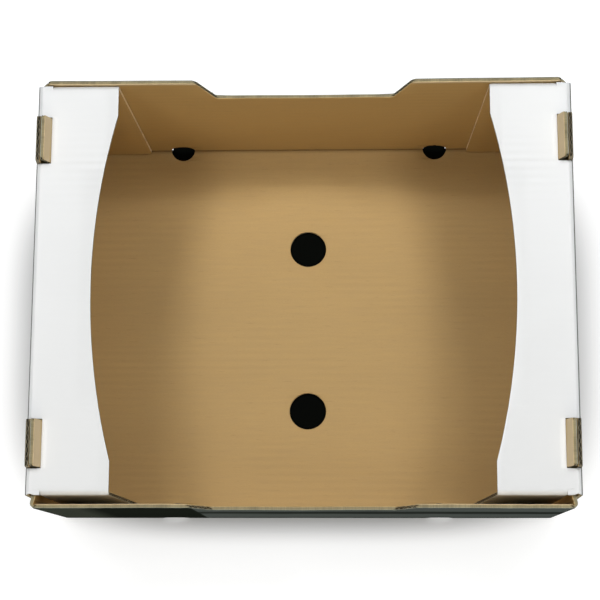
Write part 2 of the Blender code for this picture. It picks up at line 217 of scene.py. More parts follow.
class Panel:
    """A stretch of the blank: its outline in U and V, what is punched out, and how it lies."""

    def __init__(self, name, outline, lie, rows=(), columns=(), smooth=False):
        self.name = name
        self.outline = outline
        self.lie = lie
        self.rows = rows
        self.columns = columns
        self.smooth = smooth


def rounded(corners):
    """An outline whose corners, each (u, v, radius), are turned into short arcs."""
    outline = []
    for number, (across, away, radius) in enumerate(corners):
        corner = Vector((across, away))
        if radius == 0:
            outline.append(tuple(corner))
            continue
        before = Vector(corners[number - 1][:2])
        after = Vector(corners[(number + 1) % len(corners)][:2])
        back = (before - corner).normalized()
        ahead = (after - corner).normalized()
        half = back.angle(ahead) / 2
        tangent = radius / math.tan(half)
        centre = corner + (back + ahead).normalized() * (radius / math.sin(half))
        start = corner + back * tangent - centre
        sweep = start.angle_signed(corner + ahead * tangent - centre)
        for step in range(CORNER_STEPS + 1):
            turn = -sweep * step / CORNER_STEPS
            outline.append((
                centre.x + start.x * math.cos(turn) - start.y * math.sin(turn),
                centre.y + start.x * math.sin(turn) + start.y * math.cos(turn),
            ))
    return outline


def arc_points(start, end, middle, level):
    """Points (v, u) on the circle through (start, level), (end, level) and the waist."""
    half = (end - start) / 2
    rise = level - middle
    radius = (half * half + rise * rise) / (2 * rise)
    sweep = math.asin(half / radius)
    points = []
    for step in range(ARC_STEPS + 1):
        turn = sweep * (2 * step / ARC_STEPS - 1)
        across = (start + end) / 2 + radius * math.sin(turn)
        points.append((across, middle + radius * (1 - math.cos(turn))))
    return points


def circle(centre, diameter):
    points = []
    for step in range(HOLE_STEPS):
        turn = 2 * math.pi * step / HOLE_STEPS
        points.append((
            centre[0] + diameter / 2 * math.sin(turn), centre[1] + diameter / 2 * math.cos(turn)
        ))
    return points


def between(start, arc, steps):
    return [start + arc * step / steps for step in range(steps + 1)]


def lay_out(bend_steps):
    """The right half's panels and holes, from the floor outwards."""
    panels = []
    floor = Plane((0, 0, BOARD / 2), (1, 0, 0), (0, 1, 0), (0, 0, 1), (0, 0))
    slot = TAB_STACK_FACE - STACK_PLAY
    notches = []
    for near, far in ((-STACK_SLOT_FAR, -STACK_SLOT_NEAR), (STACK_SLOT_NEAR, STACK_SLOT_FAR)):
        notches += [(FLOOR_END, near), (slot, near), (slot, far), (FLOOR_END, far)]
    outline = [(-OVERHANG, -FLOOR_SIDE), (CORNER_CREASE, -FLOOR_SIDE), (FLOOR_END, -END_CREASE)]
    outline += notches
    outline += [(FLOOR_END, END_CREASE), (CORNER_CREASE, FLOOR_SIDE), (-OVERHANG, FLOOR_SIDE)]
    panels.append(Panel("floor", outline, floor))

    # The long walls and their corner flaps
    inside_rim = {}
    for direction in (-1, 1):
        bend = Bend(floor, 1, direction, direction * FLOOR_SIDE, RIGHT_ANGLE - LONG_WALL_LEAN)
        wall = bend.beyond()
        outline = [
            (-OVERHANG, direction * FLOOR_SIDE), (CORNER_CREASE, direction * FLOOR_SIDE),
            (CORNER_CREASE, direction * LONG_WALL_START), (-OVERHANG, direction * LONG_WALL_START),
        ]
        rows = [direction * row for row in between(FLOOR_SIDE, LONG_WALL_ARC, bend_steps)]
        panels.append(Panel("wall_bend", outline, bend, rows=rows))
        up = abs(wall.ways[1][2])

        def level(height):
            return LONG_WALL_START + (height - wall.origin[2]) / up

        def inner_face(height):
            rise = height - wall.origin[2]
            middle = wall.origin[1] + direction * rise * math.tan(LONG_WALL_LEAN)
            return abs(middle) - BOARD / 2 / math.cos(LONG_WALL_LEAN)

        inside_rim[direction] = (inner_face(PLATFORM_HEIGHT - BOARD), inner_face(FLAP_BOTTOM))
        top = level(PLATFORM_HEIGHT)
        bottom_hinge = level(FLAP_BOTTOM)
        top_hinge = level(FLAP_TOP)
        outline = rounded([
            (-OVERHANG, LONG_WALL_START, 0),
            (CORNER_CREASE, LONG_WALL_START, 0),
            (CORNER_CREASE, bottom_hinge, 0),
            (CORNER_CREASE, top_hinge, 0),
            (CORNER_CREASE, top, RIM_CORNER_RADIUS),
            (NOTCH_MOUTH / 2, top, NOTCH_RADIUS),
            (NOTCH_FLOOR / 2, top - NOTCH_DEPTH, NOTCH_RADIUS),
            (-OVERHANG, top - NOTCH_DEPTH, 0),
        ])
        outline = [(across, direction * away) for across, away in outline]
        panels.append(Panel("wall", outline, wall))

        bend = Bend(wall, 0, 1, CORNER_CREASE, RIGHT_ANGLE)
        flap = bend.beyond()
        outline = [
            (CORNER_CREASE, direction * bottom_hinge), (CORNER_START, direction * bottom_hinge),
            (CORNER_START, direction * top_hinge), (CORNER_CREASE, direction * top_hinge),
        ]
        columns = between(CORNER_CREASE, FOLD_ARC, bend_steps)
        panels.append(Panel("corner_bend", outline, bend, columns=columns))
        free_end = inner_face(FLAP_BOTTOM) - CORNER_FLAP_LENGTH
        tab_top = PLATFORM_HEIGHT + INNER_TAB_RISE
        slot_top = INNER_TAB_RISE + STACK_PLAY

        def corner(distance, height, radius=0):
            u, v = flap.flat((0, direction * distance, height))
            return u, v, radius

        panels.append(Panel("corner", rounded([
            (CORNER_START, direction * bottom_hinge, 0),
            corner(STACK_SLOT_FAR, FLAP_BOTTOM),
            corner(STACK_SLOT_FAR, slot_top),
            corner(STACK_SLOT_NEAR, slot_top),
            corner(STACK_SLOT_NEAR, FLAP_BOTTOM),
            corner(free_end, FLAP_BOTTOM, CORNER_FLAP_RADIUS),
            corner(free_end, FLAP_TOP, CORNER_FLAP_RADIUS),
            corner(TAB_NEAR, FLAP_TOP),
            corner(TAB_NEAR, tab_top, TAB_RADIUS),
            corner(TAB_FAR, tab_top, TAB_RADIUS),
            corner(TAB_FAR, FLAP_TOP),
            (CORNER_START, direction * top_hinge, 0),
        ]), flap))

    # The end wall with its outer tabs
    bend = Bend(floor, 0, 1, FLOOR_END, RIGHT_ANGLE)
    wall = bend.beyond()
    columns = between(FLOOR_END, FOLD_ARC, bend_steps)
    for near, far in (
        (-END_CREASE, -STACK_SLOT_FAR), (-STACK_SLOT_NEAR, STACK_SLOT_NEAR),
        (STACK_SLOT_FAR, END_CREASE),
    ):
        panels.append(Panel("end_bend", [
            (FLOOR_END, near), (END_WALL_FLOOR_EDGE, near), (END_WALL_FLOOR_EDGE, far),
            (FLOOR_END, far),
        ], bend, columns=columns))
    front_edge = PLATFORM_FRONT_GAP - inside_rim[-1][0]
    back_edge = inside_rim[1][0] - PLATFORM_BACK_GAP
    slot_top = END_WALL_FLOOR_EDGE + OUTER_TAB_RISE + STACK_PLAY - FOLD_REACH
    tab_top = END_WALL_TOP + OUTER_TAB_LENGTH
    corners = [(END_WALL_FLOOR_EDGE, -END_CREASE, 0)]
    for near, far in ((-STACK_SLOT_FAR, -STACK_SLOT_NEAR), (STACK_SLOT_NEAR, STACK_SLOT_FAR)):
        corners += [
            (END_WALL_FLOOR_EDGE, near, 0), (slot_top, near, 0), (slot_top, far, 0),
            (END_WALL_FLOOR_EDGE, far, 0),
        ]
    corners += [(END_WALL_FLOOR_EDGE, END_CREASE, 0), (END_WALL_TOP, back_edge, 0)]
    for outer, inner in ((TAB_FAR, TAB_NEAR), (-TAB_NEAR, -TAB_FAR)):
        corners += [
            (END_WALL_TOP, outer + SLOT_PLAY, 0), (END_WALL_TOP, outer, 0),
            (tab_top, outer, TAB_RADIUS), (tab_top, inner, TAB_RADIUS),
            (END_WALL_TOP, inner, 0), (END_WALL_TOP, inner - SLOT_PLAY, 0),
        ]
    corners += [(END_WALL_TOP, front_edge, 0)]
    panels.append(Panel("end_wall", rounded(corners), wall))

    # The platform and its end flaps
    bend = Bend(wall, 0, 1, END_WALL_TOP, RIGHT_ANGLE)
    platform = bend.beyond()
    columns = between(END_WALL_TOP, FOLD_ARC, bend_steps)
    for near, far in ((front_edge, -SLOT_FAR), (-SLOT_NEAR, SLOT_NEAR), (SLOT_FAR, back_edge)):
        trimmed = (near + CORNER_TRIM if near == front_edge else near,
                   far - CORNER_TRIM if far == back_edge else far)
        panels.append(Panel("platform_bend", [
            (END_WALL_TOP, near), (PLATFORM_START, trimmed[0]), (PLATFORM_START, trimmed[1]),
            (END_WALL_TOP, far),
        ], bend, columns=columns))
    inner = PLATFORM_START + PLATFORM_WIDTH - FOLD_REACH
    waist = PLATFORM_START + PLATFORM_WAIST - FOLD_REACH
    hinge_start = PLATFORM_START + END_FLAP_OUTER_CLEARANCE - FOLD_REACH
    slot_end = PLATFORM_START + SLOT_DEPTH
    outline = [(PLATFORM_START, front_edge + CORNER_TRIM)]
    for near, far in ((-SLOT_FAR, -SLOT_NEAR), (SLOT_NEAR, SLOT_FAR)):
        outline += [(PLATFORM_START, near), (slot_end, near), (slot_end, far)]
        outline += [(PLATFORM_START, far)]
    trim_end = PLATFORM_START + CORNER_TRIM_REACH
    outline += [(PLATFORM_START, back_edge - CORNER_TRIM)]
    outline += [(trim_end, back_edge - CORNER_INSET), (hinge_start, back_edge - CORNER_INSET)]
    outline += [(hinge_start, back_edge - FOLD_REACH)]
    outline += [(inner, back_edge - FOLD_REACH)]
    arc_start = front_edge + FOLD_REACH + ARC_END_MARGIN
    arc_end = back_edge - FOLD_REACH - ARC_END_MARGIN
    arc = arc_points(arc_start, arc_end, waist, inner)
    outline += [(u, v) for v, u in reversed(arc)]
    outline += [(inner, front_edge + FOLD_REACH), (hinge_start, front_edge + FOLD_REACH)]
    outline += [(hinge_start, front_edge), (trim_end, front_edge)]
    panels.append(Panel("platform", outline, platform, smooth=True))
    for direction, edge, slant in (
        (1, back_edge, END_FLAP_BACK_SLANT), (-1, -front_edge, END_FLAP_FRONT_SLANT),
    ):
        foot = inside_rim[direction][1] - GLUE_LINE
        tuck = math.atan2(edge - foot, FLAP_TOP - FLAP_BOTTOM)
        crease = edge - FOLD_REACH
        bend = Bend(platform, 1, direction, direction * crease, RIGHT_ANGLE + tuck)
        flap = bend.beyond()
        start = crease + bend.arc
        panels.append(Panel("flap_bend", [
            (hinge_start, direction * crease), (inner, direction * crease),
            (inner, direction * start), (hinge_start, direction * start),
        ], bend, rows=[direction * row for row in between(crease, bend.arc, bend_steps)]))
        end = start + (flap.origin[2] - FLAP_BOTTOM) / abs(flap.ways[1][2])
        outline = rounded([
            (hinge_start, start, 0),
            (inner, start, 0),
            (inner + slant, end, END_FLAP_RADIUS),
            (hinge_start + END_FLAP_OUTER_SLANT, end, END_FLAP_RADIUS),
        ])
        panels.append(Panel("end_flap", [(u, direction * v) for u, v in outline], flap))

    floor_holes = (FLOOR_HOLE_FRONT, FLOOR_HOLE_BACK)
    holes = [circle((0, place), FLOOR_HOLE_DIAMETER) for place in floor_holes]
    for direction in (-1, 1):
        place = direction * (FLOOR_SIDE + LONG_WALL_ARC / 2)
        holes.append(circle((CREASE_HOLE_SPACING / 2, place), CREASE_HOLE_DIAMETER))
    return panels, holes


def crossings(outline, height):
    """Where an outline crosses a row, from low U to high."""
    points = np.array(outline)
    following = np.roll(points, -1, axis=0)
    over = (points[:, 1] <= height) != (following[:, 1] <= height)
    start = points[over]
    end = following[over]
    share = (height - start[:, 1]) / (end[:, 1] - start[:, 1])
    return np.sort(start[:, 0] + share * (end[:, 0] - start[:, 0]))


def spans(panel, holes, low, high):
    """The panel's stretches in one band, each (low start, low end, high start, high end)."""
    middle = (low + high) / 2
    if not len(crossings(panel.outline, middle)):
        return []
    inset = (high - low) * 1e-6
    lows = crossings(panel.outline, low + inset)
    highs = crossings(panel.outline, high - inset)
    found = [tuple(pair) for pair in zip(lows[::2], lows[1::2], highs[::2], highs[1::2])]
    for hole in holes:
        hole_low = crossings(hole, low + inset)
        hole_high = crossings(hole, high - inset)
        if not len(hole_low) or not len(hole_high):
            continue
        kept = []
        for a, b, c, d in found:
            if hole_low[0] > b or hole_low[1] < a:
                kept.append((a, b, c, d))
                continue
            kept.append((a, hole_low[0], c, hole_high[0]))
            kept.append((hole_low[1], b, hole_high[1], d))
        found = kept
    clipped = [tuple(max(0.0, place) for place in span) for span in found]
    return [span for span in clipped if span[1] - span[0] > CLOSE or span[3] - span[2] > CLOSE]


def row_list(panels, holes, spacing):
    """Every row: those that outlines, holes and bends need, and regular ones between."""
    needed = set()
    for panel in panels:
        needed.update(panel.rows)
        corners = [v for u, v in panel.outline]
        if panel.smooth:
            after = np.abs(np.roll(corners, -1) - corners)
            kept = (after > COARSE_STEP) | (after == 0)
            corners = np.array(corners)[kept | np.roll(kept, 1)].tolist()
        needed.update(corners)
    for hole in holes:
        heights = sorted({round(v, 9) for u, v in hole})
        needed.update(heights[::6] + [heights[-1], heights[3], heights[-4]])
    rows = []
    for row in sorted(needed):
        if not rows or row - rows[-1] > SNAP:
            rows.append(row)
    fixed = np.array(rows)
    count = int(fixed[-1] / spacing) + 1
    for number in range(-count, count + 1):
        row = number * spacing
        if fixed[0] < row < fixed[-1] and np.min(np.abs(fixed - row)) > spacing * 0.3:
            rows.append(row)
    return sorted(rows)


def snapped(outline, rows):
    """The outline with its corners moved onto rows that are hardly off them."""
    grid = np.array(rows)
    moved = []
    for u, v in outline:
        nearest = grid[np.argmin(np.abs(grid - v))]
        moved.append((u, nearest if abs(nearest - v) <= SNAP else v))
    return moved


def strip(low, high, faces):
    """Faces between two rows of (u, index), with the same winding all over."""
    i = 0
    j = 0
    while i < len(low) - 1 or j < len(high) - 1:
        next_low = low[i + 1][0] if i < len(low) - 1 else math.inf
        next_high = high[j + 1][0] if j < len(high) - 1 else math.inf
        if abs(next_low - next_high) < CLOSE:
            faces.append((low[i][1], low[i + 1][1], high[j + 1][1], high[j][1]))
            i += 1
            j += 1
        elif next_low < next_high:
            faces.append((low[i][1], low[i + 1][1], high[j][1]))
            i += 1
        else:
            faces.append((low[i][1], high[j + 1][1], high[j][1]))
            j += 1


def cut_blank(row_spacing, column_spacing, bend_steps):
    """The right half as points (u, v, panel number) and faces, row by row."""
    panels, holes = lay_out(bend_steps)
    rows = row_list(panels, holes, row_spacing)
    for panel in panels:
        panel.outline = snapped(panel.outline, rows)
    holes = [snapped(hole, rows) for hole in holes]
    columns = [column_spacing * number for number in range(int(BLANK_REACH / column_spacing))]
    bands = []
    ends = [set() for row in rows]
    for number, (low, high) in enumerate(zip(rows, rows[1:])):
        for which, panel in enumerate(panels):
            for span in spans(panel, holes, low, high):
                span = tuple(round(place, 8) for place in span)
                bands.append((number, which, span))
                for row, (start, end) in ((number, span[:2]), (number + 1, span[2:])):
                    ends[row].update((start, end))
                    if end - start > 3 * EDGE_BAND:
                        ends[row].update((round(start + EDGE_BAND, 8), round(end - EDGE_BAND, 8)))
    points = []
    index = {}

    def row_points(row, which, start, end):
        places = {start, end}
        places.update(place for place in ends[row] if start < place < end)
        own = list(columns) + [round(column, 8) for column in panels[which].columns]
        for column in own:
            inside = start + CLOSE < column < end - CLOSE
            if inside and all(abs(column - place) > CLOSE for place in places):
                places.add(column)
        found = []
        for place in sorted(places):
            key = (row, place, which)
            if key not in index:
                index[key] = len(points)
                points.append((place, rows[row], which))
            found.append((place, index[key]))
        return found

    faces = []
    for number, which, (a, b, c, d) in bands:
        strip(row_points(number, which, a, b), row_points(number + 1, which, c, d), faces)
    return panels, points, faces


class Blank:
    """The whole blank's middle surface, welded, with each point's U, V, panel and side."""

    def __init__(self, row_spacing, column_spacing, bend_steps):
        self.panels, points, faces = cut_blank(row_spacing, column_spacing, bend_steps)
        u, v, which = (np.array(values) for values in zip(*points))
        self.u, self.v, self.which = u, v, which.astype(int)
        self.side = np.ones_like(u)
        middle = self.folded(np.zeros_like(u))
        keys = {}
        owner = np.empty(len(u), int)
        for number, place in enumerate(np.floor(middle / WELD + WELD_OFFSET).astype(int)):
            owner[number] = keys.setdefault(tuple(place), number)
        kept = np.unique(owner)
        renumber = np.full(len(u), -1)
        renumber[kept] = np.arange(len(kept))
        right = [[int(renumber[owner[corner]]) for corner in face] for face in faces]
        right = [list(dict.fromkeys(face)) for face in right]
        right = [face for face in right if len(face) > 2]
        self.u, self.v, self.which = u[kept], v[kept], self.which[kept]
        on_middle = self.u < CLOSE
        mirrored = np.where(on_middle, np.arange(len(kept)), 0)
        mirrored[~on_middle] = len(kept) + np.arange(int((~on_middle).sum()))
        left = [[int(mirrored[corner]) for corner in reversed(face)] for face in right]
        self.faces = right + left
        self.side = np.concatenate([np.ones(len(kept)), -np.ones(int((~on_middle).sum()))])
        self.u = np.concatenate([self.u, self.u[~on_middle]])
        self.v = np.concatenate([self.v, self.v[~on_middle]])
        self.which = np.concatenate([self.which, self.which[~on_middle]])
        used = set()
        for face in self.faces:
            used.update(zip(face, face[1:] + face[:1]))
        self.rim = [(a, b) for a, b in used if (b, a) not in used]
        self.cut = np.zeros(len(self.u))
        along = np.zeros(len(self.u))
        whole = np.full(len(self.u), 1e-9)
        for a, b in self.rim:
            run, rise = abs(self.u[a] - self.u[b]), abs(self.v[a] - self.v[b])
            for corner in (a, b):
                self.cut[corner] = 1
                along[corner] += run
                whole[corner] += math.hypot(run, rise)
        self.along_flutes = np.clip(along / whole * 4 - 3, 0, 1)
        closed = self.named("end_flap") & (self.v > 0) & (self.cut > 0)
        self.along_flutes[closed] = 1

    def folded(self, w):
        """Each point's place in the folded tray, at a height w on the inside of the middle."""
        places = np.zeros((len(self.u), 3))
        for number, panel in enumerate(self.panels):
            chosen = self.which == number
            if chosen.any():
                places[chosen] = panel.lie.place(self.u[chosen], self.v[chosen], w[chosen])
        places[:, 0] *= self.side
        return places

    def named(self, *names):
        numbers = [number for number, panel in enumerate(self.panels) if panel.name in names]
        return np.isin(self.which, numbers)


def eased(values, start, end):
    share = np.clip((values - start) / (end - start), 0, 1)
    return share * share * (3 - 2 * share)


def settled(blank, places):
    """The small ways in which a handled tray departs from its drawing."""
    moved = places.copy()
    x, y, z = places.T
    walls = blank.named("wall", "wall_bend") & (np.abs(x) < CORNER_CREASE)
    ripple = 0.5 + 0.5 * np.sin(x * 46 + np.sign(y) * 1.3) * np.cos(x * 17)
    bow = np.where(y > 0, BACK_WALL_BOW, 0.0) + WALL_RIPPLE * ripple
    bow = bow * (1 - (x / CORNER_CREASE) ** 2) * (np.clip(z, 0, 1) / PLATFORM_HEIGHT) ** 1.5
    moved[walls, 1] -= (np.sign(y) * bow)[walls]

    platform = blank.named("platform")
    reach = (blank.u - PLATFORM_START) / (PLATFORM_WIDTH - FOLD_REACH)
    sag = PLATFORM_SAG * np.clip(reach, 0, 1) ** 2 * np.cos(y / BASE_DEPTH * np.pi) ** 2
    moved[platform, 2] -= sag[platform]

    flap = blank.named("corner")
    tab_top = PLATFORM_HEIGHT + INNER_TAB_RISE
    push = INNER_TAB_PUSH * eased(z, 0.08, 0.178) - INNER_TAB_RETURN * eased(z, 0.178, tab_top)
    push = push * eased(blank.u, CORNER_START, CORNER_START + INNER_TAB_PUSH_START)
    moved[flap, 0] -= (blank.side * push)[flap]

    tab = blank.named("end_wall") & (blank.u > END_WALL_TOP)
    tuck = OUTER_TAB_TUCK * eased(blank.u, END_WALL_TOP, END_WALL_TOP + OUTER_TAB_LENGTH)
    moved[tab, 0] -= (blank.side * tuck)[tab]
    return moved


def rippled(blank):
    """How strongly the flutes show through the liners: in patches, and least on the platforms."""
    u, v = blank.u * blank.side, blank.v
    patches = np.sin(u * 41 + 1.1) * np.sin(v * 57 + u * 13 + 0.4) + np.sin(u * 23 - v * 31 + 2.0)
    strength = 0.30 + 0.45 * eased(patches, -0.2, 1.2)
    band = np.exp(-((blank.v - RIPPLE_PLACE) / RIPPLE_WIDTH) ** 2)
    band = band * eased(blank.u, PLATFORM_START + 0.010, PLATFORM_START + 0.030)
    band = band * (0.75 + 0.25 * np.sin(u * 130 + v * 210))
    platform = PLATFORM_STRENGTH + RIPPLE_STRENGTH * band
    return np.where(blank.named("platform", "platform_bend"), platform, strength)


def paper_mesh(name, blank, top, bottom, material_of, printed=()):
    """A closed sheet between two heights on the board, folded with it.

    The materials are of its inside, its outside, its edges, the outsides of the panels named
    as printed, the edges that run along the flutes, those of the back end flaps, and those of
    the outer tabs.
    """
    count = len(blank.u)
    upper = settled(blank, blank.folded(top))
    lower = settled(blank, blank.folded(bottom))
    faces = [tuple(face) for face in blank.faces]
    faces += [tuple(corner + count for corner in reversed(face)) for face in blank.faces]
    faces += [(b, a, a + count, b + count) for a, b in blank.rim]
    mesh = bpy.data.meshes.new(name)
    mesh.from_pydata(np.concatenate([upper, lower]).tolist(), [], faces)
    slots = np.zeros(len(faces), int)
    inked = blank.named(*printed)
    inked = [inked[face].all() for face in blank.faces]
    slots[len(blank.faces):2 * len(blank.faces)] = np.where(inked, 3, 1)
    along = np.array([min(blank.along_flutes[a], blank.along_flutes[b]) for a, b in blank.rim])
    rims = np.where(along > 0.5, 4, 2)
    flaps = blank.named("end_flap") & (blank.v > 0)
    tabs = blank.named("end_wall") & (blank.u > END_WALL_TOP)
    for number, (a, b) in enumerate(blank.rim):
        if flaps[a] and flaps[b]:
            rims[number] = 5
        elif tabs[a] and tabs[b]:
            rims[number] = 6
    slots[2 * len(blank.faces):] = rims
    mesh.polygons.foreach_set("material_index", np.array(material_of)[slots])
    flat = np.stack([blank.u * blank.side, blank.v], axis=1)
    flat = np.concatenate([flat, flat])
    corners = np.empty(len(mesh.loops), int)
    mesh.loops.foreach_get("vertex_index", corners)
    mesh.uv_layers.new(name="blank").data.foreach_set("uv", flat[corners].ravel())
    mesh.shade_smooth()
    mesh.set_sharp_from_angle(angle=math.radians(40))
    piece = bpy.data.objects.new(name, mesh)
    bpy.context.scene.collection.objects.link(piece)
    return piece


class Shader:
    """Builds one procedural material node by node."""

    def __init__(self, name):
        self.material = bpy.data.materials.new(name)
        self.material.use_nodes = True
        self.tree = self.material.node_tree
        self.surface = self.tree.nodes["Principled BSDF"]

    def put(self, socket, value):
        if isinstance(value, bpy.types.NodeSocket):
            self.tree.links.new(value, socket)
        else:
            socket.default_value = value

    def add(self, kind, inputs=(), output=0, **settings):
        node = self.tree.nodes.new(kind)
        for name, value in settings.items():
            setattr(node, name, value)
        for name, value in dict(inputs).items():
            self.put(node.inputs[name], value)
        return node.outputs[output]

    def maths(self, operation, first, second=0.0, third=0.0, clamp=False):
        return self.add(
            "ShaderNodeMath", {0: first, 1: second, 2: third}, operation=operation, use_clamp=clamp
        )

    def blank(self):
        """The U and V of the point on the flat blank."""
        node = self.tree.nodes.new("ShaderNodeSeparateXYZ")
        self.put(node.inputs[0], self.add("ShaderNodeUVMap", uv_map="blank"))
        return node.outputs[0], node.outputs[1]

    def grain(self, u_scale, v_scale, detail=3.0, roughness=0.5, offset=0.0, distortion=0.0):
        """Noise on the blank, stretched by its two scales, from 0 to 1."""
        u, v = self.blank()
        place = self.add("ShaderNodeCombineXYZ", {
            0: self.maths("MULTIPLY", u, u_scale), 1: self.maths("MULTIPLY", v, v_scale), 2: offset,
        })
        return self.add("ShaderNodeTexNoise", {
            "Vector": place, "Scale": 1.0, "Detail": detail, "Roughness": roughness,
            "Distortion": distortion,
        })

    def ramp(self, value, start, end, low=0.0, high=1.0):
        return self.add("ShaderNodeMapRange", {
            "Value": value, "From Min": start, "From Max": end, "To Min": low, "To Max": high,
        })

    def line(self, value, place, half_width):
        """1 on a line, falling to 0 at a distance from it."""
        off = self.maths("ABSOLUTE", self.maths("SUBTRACT", value, place))
        return self.ramp(off, 0.0, half_width, 1.0, 0.0)

    def mix(self, share, first, second, blend="MIX"):
        node = self.tree.nodes.new("ShaderNodeMix")
        node.data_type = "RGBA"
        node.blend_type = blend
        self.put(node.inputs[0], share)
        self.put(node.inputs[6], first)
        self.put(node.inputs[7], second)
        return node.outputs[2]

    def toned(self, colour, tone):
        """A colour, made lighter or darker by a value."""
        grey = self.add("ShaderNodeCombineColor", {0: tone, 1: tone, 2: tone})
        return self.mix(1.0, (*colour, 1), grey, "MULTIPLY")

    def finish(self, colour, roughness, height=None, depth=0.0001, strength=0.5):
        self.put(self.surface.inputs["Base Color"], colour)
        self.put(self.surface.inputs["Roughness"], roughness)
        if height is not None:
            bump = self.add("ShaderNodeBump", {
                "Height": height, "Distance": depth, "Strength": strength
            })
            self.put(self.surface.inputs["Normal"], bump)
        return self.material


def kraft_paper(name, colour, shade, painted_lit_colour):
    """Brown liner: streaks along the flutes, clouds, short dashes, flecks, a faint painted
    washboard of light and shade.

    Its fold lines are painted darker as shade, and the tops of the long walls and the corner flaps'
    tabs are painted lighter as if lit.
    """
    shader = Shader(name)
    u, v = shader.blank()
    streaks = shader.grain(30.0, 380.0, detail=4.0, roughness=0.6)
    clouds = shader.grain(5.0, 11.0, detail=4.0, offset=3.0)
    fibres = shader.grain(420.0, 1700.0, detail=3.0, roughness=0.6, offset=1.0)
    dashes = shader.ramp(shader.grain(75.0, 640.0, detail=2.0, offset=7.0), 0.63, 0.74)
    flecks = shader.ramp(shader.grain(1100.0, 1300.0, detail=1.0, offset=11.0), 0.74, 0.80)
    wave = shader.maths("SINE", shader.maths("MULTIPLY", v, 2 * math.pi / PITCH))
    tone = shader.ramp(streaks, 0.3, 0.7, 0.97, 1.03)
    tone = shader.maths("MULTIPLY", tone, shader.ramp(clouds, 0.3, 0.7, 0.96, 1.04))
    tone = shader.maths("MULTIPLY", tone, shader.ramp(fibres, 0.25, 0.75, 0.96, 1.04))
    # Painted light and shade: the tone rises and falls a little with the flutes, as light falls on
    # a washboard.
    patches = shader.grain(13.0, 16.0, detail=2.0, offset=15.0)
    patches = shader.ramp(patches, 0.48, 0.66, 0.002, 0.022)
    tone = shader.maths("MULTIPLY", tone, shader.maths("MULTIPLY_ADD", wave, patches, 1.0))
    tinted = shader.toned(colour, tone)
    across = shader.maths("ABSOLUTE", u)
    away = shader.maths("ABSOLUTE", v)
    # Painted shade: darker lines along the folds, where shadow falls in the groove.
    side_crease = shader.line(away, FLOOR_SIDE + LONG_WALL_ARC / 2, 0.0050)
    end_crease = shader.line(across, FLOOR_END + FOLD_ARC / 2, 0.0016)
    corner_crease = shader.line(across, CORNER_CREASE + FOLD_ARC / 2, 0.0016)
    corner_crease = shader.maths("MULTIPLY", corner_crease, shader.ramp(
        away, LONG_WALL_START, LONG_WALL_START + 0.001
    ))
    creases = shader.maths("MAXIMUM", side_crease, end_crease)
    creases = shader.maths("MAXIMUM", creases, corner_crease)
    marks_and_shade = shader.maths("MAXIMUM", shader.maths("MULTIPLY", dashes, 0.13), shader.maths(
        "MULTIPLY", flecks, 0.22
    ))
    marks_and_shade = shader.maths("MAXIMUM", marks_and_shade, shader.maths("MULTIPLY", creases, 0.80))
    # The dark colour serves the dashes and flecks, and the painted shade along the folds.
    tinted = shader.mix(marks_and_shade, tinted, (*shade, 1))
    # Painted light: the top 4 mm of the long walls and the corner flaps' tabs are coloured lighter,
    # as if lit.
    tab = shader.ramp(away, LONG_WALL_START + FLAP_TOP - 0.0040, LONG_WALL_START + FLAP_TOP)
    tinted = shader.mix(shader.maths("MULTIPLY", tab, 0.85), tinted, (*painted_lit_colour, 1))
    rough = shader.ramp(streaks, 0.3, 0.7, 0.62, 0.74)
    relief = shader.maths("ADD", streaks, shader.maths("MULTIPLY", fibres, 0.5))
    return shader.finish(tinted, rough, relief, depth=0.00006, strength=0.35)


def board_edge(name, colour):
    """Cut and inner paper: greyer and rougher than the liner's face, and smudged."""
    shader = Shader(name)
    fibres = shader.grain(1300.0, 1300.0, detail=4.0, roughness=0.7, offset=5.0)
    smudges = shader.grain(75.0, 75.0, detail=3.0, roughness=0.6, offset=8.0)
    tone = shader.ramp(fibres, 0.3, 0.7, 0.78, 1.18)
    tone = shader.maths("MULTIPLY", tone, shader.ramp(smudges, 0.3, 0.7, 0.74, 1.22))
    return shader.finish(shader.toned(colour, tone), 0.9, fibres, depth=0.0002, strength=0.6)


